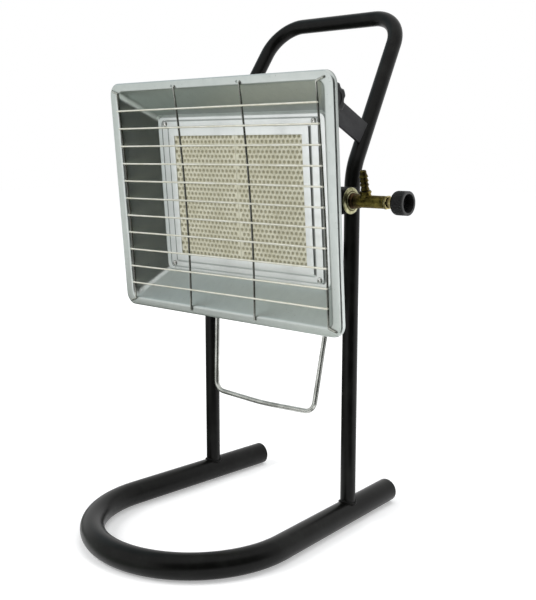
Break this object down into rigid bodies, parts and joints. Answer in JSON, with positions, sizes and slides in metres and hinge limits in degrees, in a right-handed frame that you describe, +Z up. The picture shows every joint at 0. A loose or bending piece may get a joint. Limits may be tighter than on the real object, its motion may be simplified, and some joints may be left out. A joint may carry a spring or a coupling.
{
  "type": "gas infrared heater",
  "caption": "Portable gas infrared heater: a ceramic burner in a sheet-metal reflector with a wire guard, tilting on a bent tube stand with a carrying handle.",
  "frame": {"origin": "on the floor, midway between the two posts of the stand", "axes": "+Z up, the burner faces -Y, +X to the side of the gas valve"},
  "size_m": [0.3543, 0.3666, 0.5574],
  "materials": {
    "stand_paint": "satin black powder coat",
    "black_plastic": "moulded black plastic",
    "reflector_sheet": "galvanised sheet steel",
    "frame_sheet": "bright pressed aluminium",
    "burner_sheet": "plain sheet steel",
    "burner_ceramic": "porous unglazed ceramic",
    "gasket_fibre": "white ceramic fibre",
    "guard_steel": "zinc plated wire",
    "bail_steel": "drawn steel wire",
    "valve_brass": "cast and turned brass, a little tarnished",
    "collar_bronze": "dark brown bronzed brass",
    "washer_plated": "yellow passivated zinc plate",
    "fastener_steel": "zinc plated steel"
  },
  "bodies": {
    "stand": {"base_tube": "stand_paint", "base_end_plugs": "black_plastic", "upright_hoop": "stand_paint", "post_welds": "stand_paint", "strap_left": "stand_paint", "strap_right": "stand_paint"},
    "head": {"reflector": "reflector_sheet", "tile_frame": "frame_sheet", "ceramic_tile_left": "burner_ceramic", "ceramic_tile_right": "burner_ceramic", "tile_gasket": "gasket_fibre", "burner_box": "burner_sheet", "baffle_tray": "burner_sheet", "tile_frame_screws": "fastener_steel", "guard_upright_wires": "guard_steel", "guard_cross_wires": "guard_steel", "mixing_tube": "burner_sheet", "injector_bracket": "stand_paint", "bracket_rivets": "fastener_steel", "valve_washer": "washer_plated", "valve_collar": "collar_bronze", "valve_body": "valve_brass", "hose_barb": "valve_brass", "packing_nut": "valve_brass", "injector_nozzle": "valve_brass", "ear_left": "burner_sheet", "ear_right": "burner_sheet", "ear_rivets": "fastener_steel", "bail_lug_left": "burner_sheet", "bail_lug_right": "burner_sheet", "clamp_bolt_left": "fastener_steel", "clamp_bolt_right": "fastener_steel", "clamp_spacer_left": "fastener_steel", "clamp_spacer_right": "fastener_steel", "clamp_washer_left": "fastener_steel", "clamp_washer_right": "fastener_steel"},
    "valve_control": {"valve_spindle": "valve_brass", "valve_knob": "black_plastic"},
    "clamp_knob_left": {"clamp_knob_left": "black_plastic"},
    "clamp_knob_right": {"clamp_knob_right": "black_plastic"},
    "bail": {"bail": "bail_steel"}
  },
  "joints": [
    {"name": "head_tilt", "type": "hinge", "parent": "stand", "child": "head", "pos_m": [0, -0.05, 0.454], "axis": [1, 0, 0], "range_deg": [-90, 5]},
    {"name": "valve_turn", "type": "hinge", "parent": "head", "child": "valve_control", "pos_m": [0, -0.03328, 0.35427], "axis": [1, 0, 0], "range_deg": [0, 720]},
    {"name": "clamp_knob_left_turn", "type": "hinge", "parent": "head", "child": "clamp_knob_left", "pos_m": [0, -0.05, 0.454], "axis": [-1, 0, 0], "range_deg": [0, 360]},
    {"name": "clamp_knob_right_turn", "type": "hinge", "parent": "head", "child": "clamp_knob_right", "pos_m": [0, -0.05, 0.454], "axis": [1, 0, 0], "range_deg": [0, 360]},
    {"name": "bail_swing", "type": "hinge", "parent": "head", "child": "bail", "pos_m": [0, -0.00272, 0.30001], "axis": [1, 0, 0], "range_deg": [-25, 150]}
  ]
}
